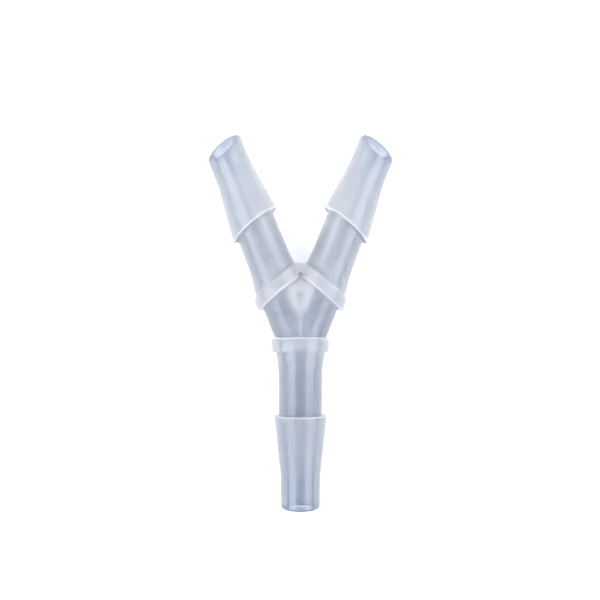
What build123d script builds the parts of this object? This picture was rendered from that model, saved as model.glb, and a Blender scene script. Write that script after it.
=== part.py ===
from build123d import *
import math
import os

# One moulded Y connector for soft tubing, in millimetres, +Z up.
# It lies flat on its three collars: the three bores are in one level plane,
# the leg points along -Y and the two arms lean to -X and +X from +Y.
# The origin is on the resting plane, under the middle of the outline.

# Round sizes, the same on all three branches
BORE_D = 5.0          # through bore
TIP_D = 7.2           # plain spigot at the mouth
BARB_D = 9.6          # top of the tapered barb, at its shoulder
NECK_D = 7.9          # seat behind the shoulder
NECK_ROOT_D = 8.9     # neck where it flares into its collar
COLLAR_D = 10.4       # stop collar
HUB_D = 8.4           # run of each arm between its collar and the leg collar

# Directions
ARM_ANGLE = 21.65     # each arm from the line of the leg, degrees
FACE_SLANT = 18.4     # arm collars, shoulders and mouths, off square, degrees

# Stations on the leg, from where the three bore axes cross
LEG_COLLAR_TOP = -0.5
LEG_COLLAR_END = 2.2
LEG_FLARE_END = 8.6
LEG_SHOULDER = 13.6
LEG_CONE_END = 24.8
LEG_END = 30.5

# Stations along each arm's axis, from the same crossing
ARM_COLLAR_START = 9.2
ARM_COLLAR_END = 11.7
ARM_FLARE_END = 18.0
ARM_SHOULDER = 22.38
ARM_CONE_END = 32.5
ARM_END = 37.7

# Edge rounding
TIP_ROUND = 0.55      # outer edge of each mouth
BORE_ROUND = 0.18     # inner edge of each mouth
SHOULDER_ROUND = 0.15
COLLAR_ROUND = 0.5    # collar edges next to the hub
COLLAR_ROUND_NECK = 0.3
CREASE_ROUND = 0.35

# Crotch: a web that fills the notch where the two arm collars run together
WEB_HALF_WIDTH = 1.0   # half its width across, where it meets the collars
WEB_BACK = 13.7        # its flat back, from the crossing of the axes
WEB_RECESS = 0.45      # how far it stands back from the collars' hub side
WEB_ROUND = 0.3
VALLEY_WEB_START = 4.6   # the hub's own web, from the crossing of the axes
VALLEY_WEB_END = 12.6
VALLEY_WEB_HALF_DEPTH = 2.3  # half its depth where it ends under the collars

ARM_COLLAR_MIDDLE = (ARM_COLLAR_START + ARM_COLLAR_END) / 2
AXIS_HEIGHT = COLLAR_D / 2
JUNCTION_Y = -3.31

EXTRA = 6.0           # spare length on pieces that are cut back to a slanted face

alpha = math.radians(ARM_ANGLE)
lean = math.radians(ARM_ANGLE + FACE_SLANT)
stretch = 1 / math.cos(math.radians(FACE_SLANT))
JUNCTION = Vector(0, JUNCTION_Y, AXIS_HEIGHT)

# Left arm: its own axis, and the direction its slanted faces look along
arm_dir = Vector(-math.sin(alpha), math.cos(alpha), 0)
face_dir = Vector(-math.sin(lean), math.cos(lean), 0)
arm_across = Vector(math.cos(alpha), math.sin(alpha), 0)
face_across = Vector(math.cos(lean), math.sin(lean), 0)
leg_dir = Vector(0, -1, 0)


def arm_square(u):
    """Plane square to the left arm's axis, u from the crossing."""
    return Plane(origin=JUNCTION + arm_dir * u, x_dir=arm_across, z_dir=arm_dir)


def arm_square_right(u):
    """The same plane on the right arm."""
    return Plane(
        origin=(-(JUNCTION + arm_dir * u).X, (JUNCTION + arm_dir * u).Y, AXIS_HEIGHT),
        x_dir=(arm_across.X, -arm_across.Y, 0),
        z_dir=(-arm_dir.X, arm_dir.Y, 0),
    )


def arm_face(u):
    """Slanted plane through the left arm's axis, u from the crossing."""
    return Plane(origin=JUNCTION + arm_dir * u, x_dir=face_across, z_dir=face_dir)


def arm_face_right(u):
    """The same slanted plane on the right arm."""
    return Plane(
        origin=(-(JUNCTION + arm_dir * u).X, (JUNCTION + arm_dir * u).Y, AXIS_HEIGHT),
        x_dir=(face_across.X, -face_across.Y, 0),
        z_dir=(-face_dir.X, face_dir.Y, 0),
    )


def leg_square(u):
    """Plane square to the leg's axis, u from the crossing."""
    return Plane(origin=JUNCTION + leg_dir * u, x_dir=(1, 0, 0), z_dir=leg_dir)


def flare(root, seat):
    """Two points on the way from a neck's root down to its plain seat."""
    run, drop = seat[0] - root[0], root[1] - seat[1]
    return [(root[0] + run * t, seat[1] + drop * (1 - t) ** 2.4) for t in (0.33, 0.67)]


# Planes that hold an axis: x runs outward along it, y is height above it
arm_section = Plane(origin=JUNCTION, x_dir=arm_dir, z_dir=arm_across)
leg_section = Plane(origin=JUNCTION, x_dir=leg_dir, z_dir=(-1, 0, 0))
arm_axis = Axis(JUNCTION, arm_dir)
leg_axis = Axis(JUNCTION, leg_dir)

# ---- left arm, in stretches along its axis --------------------------------

# the plain round runs of both arms, from the leg collar up into the arm collars,
# with the valley where they run together softened along its whole length
with BuildPart() as hub:
    with BuildSketch(arm_square(-EXTRA)):
        Circle(HUB_D / 2)
    extrude(amount=EXTRA + ARM_COLLAR_END + 2 * EXTRA)
    mirror(about=Plane.YZ)
    split(bisect_by=leg_square((LEG_COLLAR_TOP + LEG_COLLAR_END) / 2), keep=Keep.BOTTOM)
    valley = edges().filter_by(
        lambda e: abs(e.center().X) < 1e-3 and e.center().Y > JUNCTION_Y and e.length > 1
    )
    fillet(valley, CREASE_ROUND)
    split(bisect_by=arm_face(ARM_COLLAR_MIDDLE), keep=Keep.BOTTOM)
    split(bisect_by=arm_face_right(ARM_COLLAR_MIDDLE), keep=Keep.BOTTOM)

# round collar between two slanted faces
with BuildPart() as arm_collar:
    with BuildSketch(arm_square(0)):
        Circle(COLLAR_D / 2)
    extrude(amount=ARM_COLLAR_END + EXTRA)
    split(bisect_by=arm_face(ARM_COLLAR_START), keep=Keep.TOP)
    split(bisect_by=arm_face(ARM_COLLAR_END), keep=Keep.BOTTOM)
    rims = edges().group_by(SortBy.LENGTH)[-1]
    fillet(rims.sort_by(Axis.Y)[0], COLLAR_ROUND)
    rims = edges().filter_by(lambda e: abs((e.center() - arm_face(ARM_COLLAR_END).origin).dot(face_dir)) < 1e-3)
    fillet(rims, COLLAR_ROUND_NECK)

# half of the web in the crotch: its top follows the collars' own curve, so that it
# leaves a flat floor of even width along the notch between them
with BuildPart() as web_half:
    middle = JUNCTION_Y + WEB_HALF_WIDTH / math.tan(alpha)
    with BuildSketch(Plane(origin=(0, middle, AXIS_HEIGHT), x_dir=(0, 1, 0), z_dir=(1, 0, 0))):
        Ellipse(COLLAR_D / 2 / math.sin(alpha), COLLAR_D / 2)
    extrude(amount=-WEB_HALF_WIDTH * 1.6)
    split(bisect_by=arm_face(ARM_COLLAR_START + WEB_RECESS), keep=Keep.TOP)
    split(bisect_by=arm_face(ARM_COLLAR_END), keep=Keep.BOTTOM)

# the hub's own web: a wedge that fills the deep end of the valley between the arms,
# its top and bottom sloping down from the valley line to the collars
with BuildPart() as valley_web:
    start_depth = math.sqrt(
        (HUB_D / 2) ** 2 - (VALLEY_WEB_START * math.sin(alpha)) ** 2
    )
    with BuildSketch(Plane(origin=JUNCTION, x_dir=(0, 1, 0), z_dir=(1, 0, 0))):
        with BuildLine():
            Polyline(
                (VALLEY_WEB_START, start_depth),
                (VALLEY_WEB_END, VALLEY_WEB_HALF_DEPTH),
                (VALLEY_WEB_END, -VALLEY_WEB_HALF_DEPTH),
                (VALLEY_WEB_START, -start_depth),
                close=True,
            )
        make_face()
    extrude(amount=1.4, both=True)

# both arm collars with the web between them, cut flat at the back of the crotch
with BuildPart() as collar_pair:
    add(arm_collar.part)
    add(web_half.part)
    mirror(about=Plane.YZ)
    split(bisect_by=Plane.XZ.offset(-(JUNCTION_Y + WEB_BACK)), keep=Keep.TOP)
    back = faces().filter_by(
        lambda f: abs(f.center().Y - (JUNCTION_Y + WEB_BACK)) < 1e-3
        and abs(f.center().X) < 1e-3
    )
    fillet(back.edges(), WEB_ROUND)

# neck: a slow flare out of the collar, then a plain seat up to the shoulder
with BuildPart() as arm_neck:
    with BuildSketch(arm_section):
        with BuildLine():
            start = (ARM_COLLAR_START - EXTRA / 2, NECK_ROOT_D / 2)
            root = (ARM_COLLAR_END, NECK_ROOT_D / 2)
            seat = (ARM_FLARE_END, NECK_D / 2)
            end = (ARM_SHOULDER + EXTRA, NECK_D / 2)
            Polyline((end[0], 0), (start[0], 0), start, root)
            # one smooth curve for flare and seat, so that no seam shows round the neck
            between = ((seat[0] + end[0]) / 2, seat[1])
            Spline(root, *flare(root, seat), seat, between, end, tangents=((1, -0.16), (1, 0)))
            Polyline(end, (end[0], 0))
        make_face()
    revolve(axis=arm_axis)
    split(
        bisect_by=arm_face((ARM_COLLAR_START + ARM_COLLAR_END) / 2), keep=Keep.TOP
    )
    split(bisect_by=arm_face(ARM_SHOULDER + 1), keep=Keep.BOTTOM)

# tapered barb between the slanted shoulder and the slanted start of the spigot
with BuildPart() as arm_barb:
    with BuildSketch(arm_face(ARM_SHOULDER)):
        Ellipse(BARB_D / 2 * stretch, BARB_D / 2)
    with BuildSketch(arm_face(ARM_CONE_END)):
        Ellipse(TIP_D / 2 * stretch, TIP_D / 2)
    loft(ruled=True)
    fillet(edges().sort_by(Axis(JUNCTION, face_dir))[0], SHOULDER_ROUND)

# plain spigot with a rounded mouth
with BuildPart() as arm_tip:
    with BuildSketch(arm_square(ARM_CONE_END - EXTRA)):
        Circle(TIP_D / 2)
    extrude(amount=ARM_END - ARM_CONE_END + 2 * EXTRA)
    split(bisect_by=arm_face(ARM_CONE_END), keep=Keep.TOP)
    split(bisect_by=arm_face(ARM_END), keep=Keep.BOTTOM)
    fillet(edges().sort_by(Axis(JUNCTION, face_dir))[-1], TIP_ROUND)

# ---- leg, one turned profile ----------------------------------------------

with BuildPart() as leg:
    with BuildSketch(leg_section):
        with BuildLine():
            Polyline(
                (LEG_END, 0),
                (LEG_COLLAR_TOP, 0),
                (LEG_COLLAR_TOP, COLLAR_D / 2),
                (LEG_COLLAR_END, COLLAR_D / 2),
                (LEG_COLLAR_END, NECK_ROOT_D / 2),
            )
            root = (LEG_COLLAR_END, NECK_ROOT_D / 2)
            seat = (LEG_FLARE_END, NECK_D / 2)
            end = (LEG_SHOULDER, NECK_D / 2)
            between = ((seat[0] + end[0]) / 2, seat[1])
            Spline(root, *flare(root, seat), seat, between, end, tangents=((1, -0.16), (1, 0)))
            Polyline(
                end,
                (LEG_SHOULDER, BARB_D / 2),
                (LEG_CONE_END, TIP_D / 2),
                (LEG_END, TIP_D / 2),
                (LEG_END, 0),
            )
        make_face()
    revolve(axis=leg_axis)
    by_y = edges().filter_by(GeomType.CIRCLE).group_by(Axis.Y)
    fillet(by_y[0], TIP_ROUND)
    shoulder = edges().filter_by(
        lambda e: abs(e.center().Y - (JUNCTION_Y - LEG_SHOULDER)) < 1e-3
        and abs(e.radius - BARB_D / 2) < 1e-3 if e.geom_type == GeomType.CIRCLE else False
    )
    fillet(shoulder, SHOULDER_ROUND)
    rim_top = edges().filter_by(
        lambda e: e.geom_type == GeomType.CIRCLE
        and abs(e.center().Y - (JUNCTION_Y - LEG_COLLAR_TOP)) < 1e-3
    )
    fillet(rim_top, COLLAR_ROUND)
    rim_low = edges().filter_by(
        lambda e: e.geom_type == GeomType.CIRCLE
        and abs(e.center().Y - (JUNCTION_Y - LEG_COLLAR_END)) < 1e-3
        and abs(e.radius - COLLAR_D / 2) < 1e-3
    )
    fillet(rim_low, COLLAR_ROUND_NECK)

# ---- the moulding ----------------------------------------------------------

with BuildPart() as y_connector_body:
    add(arm_neck.part)
    add(arm_barb.part)
    add(arm_tip.part)
    mirror(about=Plane.YZ)
    add(collar_pair.part)
    add(hub.part)
    add(valley_web.part)
    add(leg.part)
    # three equal round bores that meet where their axes cross
    with BuildSketch(leg_square(0)):
        Circle(BORE_D / 2)
    extrude(amount=LEG_END + EXTRA, mode=Mode.SUBTRACT)
    for side in (arm_square(0), arm_square_right(0)):
        with BuildSketch(side):
            Circle(BORE_D / 2)
        extrude(amount=ARM_END + EXTRA, mode=Mode.SUBTRACT)
    # inner edge of each mouth
    mouths = edges().filter_by(
        lambda e: min(
            abs((e.center() - leg_square(LEG_END).origin).dot(leg_dir)),
            abs((e.center() - arm_face(ARM_END).origin).dot(arm_face(0).z_dir)),
            abs((e.center() - arm_face_right(ARM_END).origin).dot(arm_face_right(0).z_dir)),
        )
        < 1e-3
        and abs(e.length - BORE_D * math.pi) < 1
    )
    fillet(mouths, BORE_ROUND)

y_connector_body.part.label = "y_connector_body"
os.makedirs("parts", exist_ok=True)
export_step(y_connector_body.part, "parts/y_connector_body.step")
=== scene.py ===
import bpy, math
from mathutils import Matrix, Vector

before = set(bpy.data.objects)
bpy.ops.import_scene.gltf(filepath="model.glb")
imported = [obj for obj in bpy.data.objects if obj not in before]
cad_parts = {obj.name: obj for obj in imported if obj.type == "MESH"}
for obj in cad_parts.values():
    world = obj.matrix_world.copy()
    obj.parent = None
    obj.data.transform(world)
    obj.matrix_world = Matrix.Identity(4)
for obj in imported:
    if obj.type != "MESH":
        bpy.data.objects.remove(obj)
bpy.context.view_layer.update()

scene = bpy.context.scene
body = bpy.data.objects["y_connector_body"]

# The branches' own geometry, metres, in the CAD frame
J_Y, AX_Z = -0.00331, 0.0052
ALPHA = math.radians(21.65)
SLANT = math.radians(18.4)
PX = 0.001 / 5.5  # one pixel of the 600 x 600 view, at the height of the bore axes


def new_mat(name):
    m = bpy.data.materials.new(name)
    m.use_nodes = True
    nt = m.node_tree
    nt.nodes.clear()
    return m, nt


# ---------------------------------------------------------------- plastic
mat, nt = new_mat("natural_plastic")
N, L = nt.nodes, nt.links


def put(socket, value):
    if isinstance(value, bpy.types.NodeSocket):
        L.new(value, socket)
    else:
        socket.default_value = value


def calc(op, a, b=0.0, c=0.0, clamp=False):
    n = N.new("ShaderNodeMath")
    n.operation = op
    n.use_clamp = clamp
    for s, v in zip(n.inputs, (a, b, c)):
        put(s, v)
    return n.outputs[0]


def remap(v, a, b, lo=0.0, hi=1.0, kind="SMOOTHSTEP"):
    n = N.new("ShaderNodeMapRange")
    n.interpolation_type = kind
    for s, x in zip(n.inputs[:5], (v, a, b, lo, hi)):
        put(s, x)
    return n.outputs[0]


def blend(f, a, b):
    n = N.new("ShaderNodeMix")
    n.data_type = "FLOAT"
    n.clamp_factor = True
    put(n.inputs[0], f)
    put(n.inputs[2], a)
    put(n.inputs[3], b)
    return n.outputs[0]


def ramp(f, stops, mode="LINEAR"):
    """Colour ramp of grey levels or colours at the given stations (0 to 1)."""
    n = N.new("ShaderNodeValToRGB")
    r = n.color_ramp
    r.interpolation = mode
    while len(r.elements) > 1:
        r.elements.remove(r.elements[-1])
    for i, (at, v) in enumerate(stops):
        e = r.elements[0] if i == 0 else r.elements.new(at)
        e.position = at
        e.color = (*v, 1) if isinstance(v, tuple) else (v, v, v, 1)
    put(n.inputs[0], f)
    return n.outputs[0]


def noise(vec, scale, detail=2.0, rough=0.5):
    n = N.new("ShaderNodeTexNoise")
    put(n.inputs["Vector"], vec)
    n.inputs["Scale"].default_value = scale
    n.inputs["Detail"].default_value = detail
    n.inputs["Roughness"].default_value = rough
    return n.outputs["Fac"]


def xyz(x, y, z):
    n = N.new("ShaderNodeCombineXYZ")
    for s, v in zip(n.inputs, (x, y, z)):
        put(s, v)
    return n.outputs[0]


tc = N.new("ShaderNodeTexCoord")
sep = N.new("ShaderNodeSeparateXYZ")
L.new(tc.outputs["Object"], sep.inputs[0])
# millimetres from the point where the bores cross
x = calc("MULTIPLY", sep.outputs[0], 1000.0)
y = calc("MULTIPLY", calc("SUBTRACT", sep.outputs[1], J_Y), 1000.0)
z = calc("MULTIPLY", calc("SUBTRACT", sep.outputs[2], AX_Z), 1000.0)
ax = calc("ABSOLUTE", x)
ca, sa = math.cos(ALPHA), math.sin(ALPHA)
cl, sl = math.cos(ALPHA + SLANT), math.sin(ALPHA + SLANT)
cs = math.cos(SLANT)
u_leg = calc("MULTIPLY", y, -1.0)
u_arm = calc("ADD", calc("MULTIPLY", ax, sa), calc("MULTIPLY", y, ca))
face = calc("DIVIDE", calc("ADD", calc("MULTIPLY", ax, sl), calc("MULTIPLY", y, cl)), cs)
across = calc("SUBTRACT", calc("MULTIPLY", ax, ca), calc("MULTIPLY", y, sa))
on_leg = remap(y, 0.7, 0.5)  # 1 on the leg's side of its collar

# distance from the branch's own axis, and the way round it
side = blend(on_leg, across, x)
r = calc("SQRT", calc("ADD", calc("MULTIPLY", side, side), calc("MULTIPLY", z, z)))
u = blend(on_leg, u_arm, u_leg)

# the way round each branch, as a point on the unit circle, for lengthwise streaks without a seam
round_s = calc("DIVIDE", side, calc("MAXIMUM", r, 0.01))
round_z = calc("DIVIDE", z, calc("MAXIMUM", r, 0.01))

# How milky and pale the plastic is painted at each station, partly painted light. Thick collars and barbs
# are painted paler than the thin neck and spigot, for the light that scatters in thicker plastic, and the arms are
# painted paler than the leg, for more light falling on them.
leg_milk_and_light = ramp(calc("DIVIDE", u_leg, 32.0), [
    (0.0, 0.71), (2.0 / 32, 0.71), (2.8 / 32, 0.44), (7.0 / 32, 0.18), (13.3 / 32, 0.06),
    (13.8 / 32, 0.50), (18.0 / 32, 0.38), (24.0 / 32, 0.20), (25.2 / 32, 0.02), (29.0 / 32, 0.0), (30.4 / 32, 0.0)])
arm_milk_and_light = ramp(calc("DIVIDE", face, 40.0), [
    (0.0, 0.20), (6.0 / 40, 0.24), (8.6 / 40, 0.40), (9.2 / 40, 0.78), (11.5 / 40, 0.78), (12.6 / 40, 0.54), (16.5 / 40, 0.46),
    (22.1 / 40, 0.46), (22.6 / 40, 0.70), (30.0 / 40, 0.58), (33.5 / 40, 0.40), (35.8 / 40, 0.22), (37.7 / 40, 0.16)])
# painted light: the inner side of each arm past its collar is painted milkier, for light falling on that side
inner_side_light = calc("MULTIPLY", remap(across, 1.5, -3.0), calc("MULTIPLY", remap(face, 11.7, 12.6), 0.30))
milk_and_light = blend(on_leg, calc("ADD", arm_milk_and_light, inner_side_light), leg_milk_and_light)
# the solid web of plastic between the two arms' bores, a wedge that widens from the valley up to the crotch, painted
# milkier for the light its thicker plastic scatters and a little paler as a painted highlight
wedge_half = remap(y, 3.4, 9.6, 0.25, 6.2, "LINEAR")
wedge = calc("MULTIPLY", remap(calc("DIVIDE", ax, wedge_half), 1.2, 0.2), remap(y, 3.2, 6.0))
wedge = calc("MULTIPLY", wedge, remap(y, 15.0, 12.5))
# painted highlight: a thin pale line down the middle of the hub, for light caught in the crease between the two arms
# painted light: the valley right under the crotch is painted pale over the shade in its recess, and the thicker
# middle of the hub is painted milkier for the light it scatters
valley_light = calc("MULTIPLY", remap(ax, 2.2, 0.3), calc("MULTIPLY", remap(y, 7.4, 9.2), remap(face, 9.3, 9.1)))
core = calc("MULTIPLY", remap(ax, 3.4, 0.6), calc("MULTIPLY", remap(y, 0.4, 0.8), remap(y, 8.0, 5.0)))
crease_highlight = calc("MULTIPLY", remap(ax, 0.26, 0.06), calc("MULTIPLY", remap(y, 0.2, 0.8), remap(y, 13.0, 9.0)))
milk_and_light = calc("ADD", milk_and_light, calc("MULTIPLY", core, 0.30))
milk_and_light = calc("MAXIMUM", milk_and_light, calc("MULTIPLY", wedge, 0.8))
milk_and_light = calc("MAXIMUM", milk_and_light, calc("MULTIPLY", crease_highlight, 0.62))

# painted highlights: the rims are painted paler along their edges, for light caught on their rounded edges, and the
# shoulder faces are painted pale over their shade
def rim(station, at, width, low, high):
    """1 on a ring: near one station, between two distances from the branch's axis."""
    near = remap(calc("ABSOLUTE", calc("SUBTRACT", station, at)), width, width * 0.35)
    return calc("MULTIPLY", near, calc("MULTIPLY", remap(r, low, low + 0.1), remap(r, high + 0.1, high)))


leg_rim_highlights = calc("ADD", rim(u_leg, -0.35, 0.24, 4.8, 5.4), calc("ADD", rim(u_leg, 13.66, 0.22, 4.0, 5.2), rim(u_leg, 30.5, 0.10, 3.0, 3.7)), clamp=True)
arm_rim_highlights = calc("ADD", rim(face, 9.3, 0.26, 4.3, 5.4), calc("ADD", rim(face, 22.42, 0.26, 4.0, 5.2), rim(face, 37.68, 0.10, 3.1, 3.8)), clamp=True)
rim_highlights = blend(on_leg, arm_rim_highlights, leg_rim_highlights)

# flow streaks along each branch, and a soft cloudiness
streak_at = xyz(calc("MULTIPLY", round_s, 3.2), calc("MULTIPLY", round_z, 3.2), calc("MULTIPLY", u, 0.10))
streaks = noise(streak_at, 1.0, 3.0, 0.55)
cloud = noise(tc.outputs["Object"], 420.0, 2.0, 0.5)
fine = noise(xyz(calc("MULTIPLY", round_s, 11.0), calc("MULTIPLY", round_z, 11.0), calc("MULTIPLY", u, 0.07)), 1.0, 2.0, 0.6)
milk_and_light = calc("ADD", milk_and_light, calc("MULTIPLY", calc("SUBTRACT", streaks, 0.5), 0.34))
milk_and_light = calc("ADD", milk_and_light, calc("MULTIPLY", calc("SUBTRACT", fine, 0.5), 0.26))
milk_and_light = calc("ADD", milk_and_light, calc("MULTIPLY", calc("SUBTRACT", cloud, 0.5), 0.16), clamp=True)

out = N.new("ShaderNodeOutputMaterial")
p = N.new("ShaderNodeBsdfPrincipled")
L.new(p.outputs[0], out.inputs[0])
tint = N.new("ShaderNodeMix")
tint.data_type = "RGBA"
put(tint.inputs[0], milk_and_light)
tint.inputs[6].default_value = (0.55, 0.61, 0.70, 1)
tint.inputs[7].default_value = (0.86, 0.885, 0.92, 1)
# how satin the skin is at each station: the barbs and the hub are duller than the necks and spigots
leg_satin = ramp(calc("DIVIDE", u_leg, 32.0), [
    (0.0, 0.34), (2.2 / 32, 0.34), (3.0 / 32, 0.20), (13.3 / 32, 0.18), (13.8 / 32, 0.36), (22.0 / 32, 0.30),
    (24.6 / 32, 0.20), (25.6 / 32, 0.07), (30.5 / 32, 0.05)])
arm_satin = ramp(calc("DIVIDE", face, 40.0), [
    (0.0, 0.40), (8.8 / 40, 0.42), (9.4 / 40, 0.36), (12.0 / 40, 0.30), (22.0 / 40, 0.26), (22.6 / 40, 0.36),
    (31.0 / 40, 0.30), (34.0 / 40, 0.20), (36.0 / 40, 0.14), (38.0 / 40, 0.12)])
satin = blend(on_leg, arm_satin, leg_satin)

# painted light: the rims, the wedge, the crease line, the valley and the crotch web are painted paler and less clear
painted_pale = calc("MAXIMUM", calc("MULTIPLY", rim_highlights, blend(on_leg, 0.56, 0.44)), calc("MAXIMUM", calc("MULTIPLY", wedge, 0.13), calc("MULTIPLY", crease_highlight, 0.22)))
painted_pale = calc("MAXIMUM", painted_pale, calc("MULTIPLY", valley_light, 0.5))
# painted light: the top of the crotch web is painted paler over the shade there
crotch_web_light = calc("MULTIPLY", remap(ax, 1.9, 0.7), remap(y, 12.0, 12.8))
painted_pale = calc("MAXIMUM", painted_pale, calc("MULTIPLY", crotch_web_light, 0.22))
# Painted shade: a darker band half way up every side. It is a guess that gives the dark outline seen from above, not
# a parting line that the photograph shows.
outline_shade = calc("MULTIPLY", remap(calc("ABSOLUTE", z), 1.35, 0.3), 1.0)
put(p.inputs["Transmission Weight"], blend(painted_pale, remap(milk_and_light, 0.0, 1.0, 0.95, 0.66, "LINEAR"), 0.15))
painted_pale_mix = N.new("ShaderNodeMix")
painted_pale_mix.data_type = "RGBA"
put(painted_pale_mix.inputs[0], painted_pale)
L.new(tint.outputs[2], painted_pale_mix.inputs[6])
painted_pale_mix.inputs[7].default_value = (0.93, 0.945, 0.965, 1)
# painted shade: a darker end on each branch, standing for the shaded inside of the mouth seen through the wall
leg_mouth = calc("MULTIPLY", remap(u_leg, 28.9, 29.9), 0.85)
arm_mouth = calc("MULTIPLY", remap(face, 35.8, 36.9), 0.55)
mouth = calc("MULTIPLY", blend(on_leg, arm_mouth, leg_mouth), calc("SUBTRACT", 1.0, rim_highlights))
# painted shade: the outline band and the mouth ends are mixed toward a dark blue-grey
painted_shade = N.new("ShaderNodeMix")
painted_shade.data_type = "RGBA"
put(painted_shade.inputs[0], calc("MAXIMUM", outline_shade, mouth))
put(p.inputs["Roughness"], blend(outline_shade, calc("ADD", satin, calc("MULTIPLY", calc("SUBTRACT", cloud, 0.5), 0.06)), 0.5))
L.new(painted_pale_mix.outputs[2], painted_shade.inputs[6])
painted_shade.inputs[7].default_value = (0.24, 0.30, 0.41, 1)
L.new(painted_shade.outputs[2], p.inputs["Base Color"])
p.inputs["IOR"].default_value = 1.49
p.inputs["Specular IOR Level"].default_value = 0.6
p.inputs["Coat Weight"].default_value = 0.4
p.inputs["Coat Roughness"].default_value = 0.22
p.inputs["Coat IOR"].default_value = 1.5
p.inputs["Subsurface Weight"].default_value = 1.0
p.inputs["Subsurface Radius"].default_value = (1.0, 1.0, 1.0)
p.inputs["Subsurface Scale"].default_value = 0.0012

# drawn-out ripples from the mould, finer on top of broad
ripple = noise(xyz(calc("MULTIPLY", round_s, 7.0), calc("MULTIPLY", round_z, 7.0), calc("MULTIPLY", u, 0.16)), 1.0, 3.0, 0.6)
grain = noise(tc.outputs["Object"], 2600.0, 2.0, 0.5)
bump = N.new("ShaderNodeBump")
bump.inputs["Strength"].default_value = 0.28
bump.inputs["Distance"].default_value = 0.00012
put(bump.inputs["Height"], calc("ADD", ripple, calc("MULTIPLY", grain, 0.06)))
L.new(bump.outputs[0], p.inputs["Normal"])

vs = N.new("ShaderNodeVolumeScatter")
vs.inputs["Color"].default_value = (0.97, 0.98, 1.0, 1)
vs.inputs["Density"].default_value = 300
vs.inputs["Anisotropy"].default_value = 0.4
va = N.new("ShaderNodeVolumeAbsorption")
va.inputs["Color"].default_value = (0.60, 0.66, 0.77, 1)
va.inputs["Density"].default_value = 150
ad = N.new("ShaderNodeAddShader")
L.new(vs.outputs[0], ad.inputs[0])
L.new(va.outputs[0], ad.inputs[1])
L.new(ad.outputs[0], out.inputs["Volume"])
scene.cycles.volume_bounces = 8

for i in range(len(body.material_slots)):
    body.material_slots[i].material = mat

# ---------------------------------------------------------------- floor
m, nt2 = new_mat("floor_white")
o2 = nt2.nodes.new("ShaderNodeOutputMaterial")
p2 = nt2.nodes.new("ShaderNodeBsdfPrincipled")
p2.inputs["Base Color"].default_value = (0.93, 0.93, 0.935, 1)
p2.inputs["Roughness"].default_value = 0.8
p2.inputs["Specular IOR Level"].default_value = 0.1
p2.inputs["Emission Color"].default_value = (1, 1, 1, 1)
p2.inputs["Emission Strength"].default_value = 0.44
nt2.links.new(p2.outputs[0], o2.inputs[0])
bpy.ops.mesh.primitive_plane_add(size=3, location=(0, 0, 0))
floor = bpy.context.object
floor.name = "floor"
floor.data.materials.append(m)

# ---------------------------------------------------------------- light
world = bpy.data.worlds.new("studio")
scene.world = world
world.use_nodes = True
bg = world.node_tree.nodes["Background"]
bg.inputs[0].default_value = (0.96, 0.975, 1.0, 1)
# bright overhead and a little dimmer towards the horizon, like the inside of a light tent
wn, wl = world.node_tree.nodes, world.node_tree.links
w_tc = wn.new("ShaderNodeTexCoord")
w_sep = wn.new("ShaderNodeSeparateXYZ")
wl.new(w_tc.outputs["Generated"], w_sep.inputs[0])
w_map = wn.new("ShaderNodeMapRange")
w_map.interpolation_type = "SMOOTHSTEP"
w_map.inputs[1].default_value, w_map.inputs[2].default_value = 0.05, 0.60
w_map.inputs[3].default_value, w_map.inputs[4].default_value = 0.55, 0.80
wl.new(w_sep.outputs[2], w_map.inputs[0])
wl.new(w_map.outputs[0], bg.inputs[1])


def softbox(name, loc, target, along, across_, power, color=(1, 1, 1)):
    """A rectangular light: along is its side in the direction of world Y."""
    d = bpy.data.lights.new(name, "AREA")
    d.shape = "RECTANGLE"
    d.size, d.size_y = along, across_
    d.energy = power
    d.color = color
    o = bpy.data.objects.new(name, d)
    o.location = loc
    o.rotation_mode = "QUATERNION"
    o.rotation_quaternion = (Vector(target) - Vector(loc)).to_track_quat("-Z", "Y")
    scene.collection.objects.link(o)
    return o


R = 0.35
for s, n in ((-1, "softbox_left"), (1, "softbox_right")):
    a = math.radians(48)
    softbox(n, (s * R * math.sin(a), 0.0, R * math.cos(a)), (0, 0, 0), 0.5, 0.26, 1.15)

# ---------------------------------------------------------------- camera
cam_data = bpy.data.cameras.new("camera")
cam = bpy.data.objects.new("camera", cam_data)
scene.collection.objects.link(cam)
scene.camera = cam
D = 640 * PX
cam_data.sensor_width = 36
cam_data.sensor_fit = "HORIZONTAL"
cam_data.lens = 36 * 640 / 600
cam_data.clip_start, cam_data.clip_end = 0.005, 5
J_PHOTO_Y = 339.8
centre_y = J_Y + (J_PHOTO_Y - 299.5) * PX
SHIFT_PX = 54.0
cam.location = (-0.5 * PX, centre_y - SHIFT_PX * PX, AX_Z + D)
cam.rotation_euler = (0, 0, 0)
cam_data.shift_y = SHIFT_PX / 600

scene.view_settings.view_transform = "Standard"
scene.view_settings.look = "None"
scene.cycles.denoising_input_passes = "RGB"
scene.cycles.max_bounces = 24
scene.cycles.transmission_bounces = 24
scene.cycles.transparent_max_bounces = 16
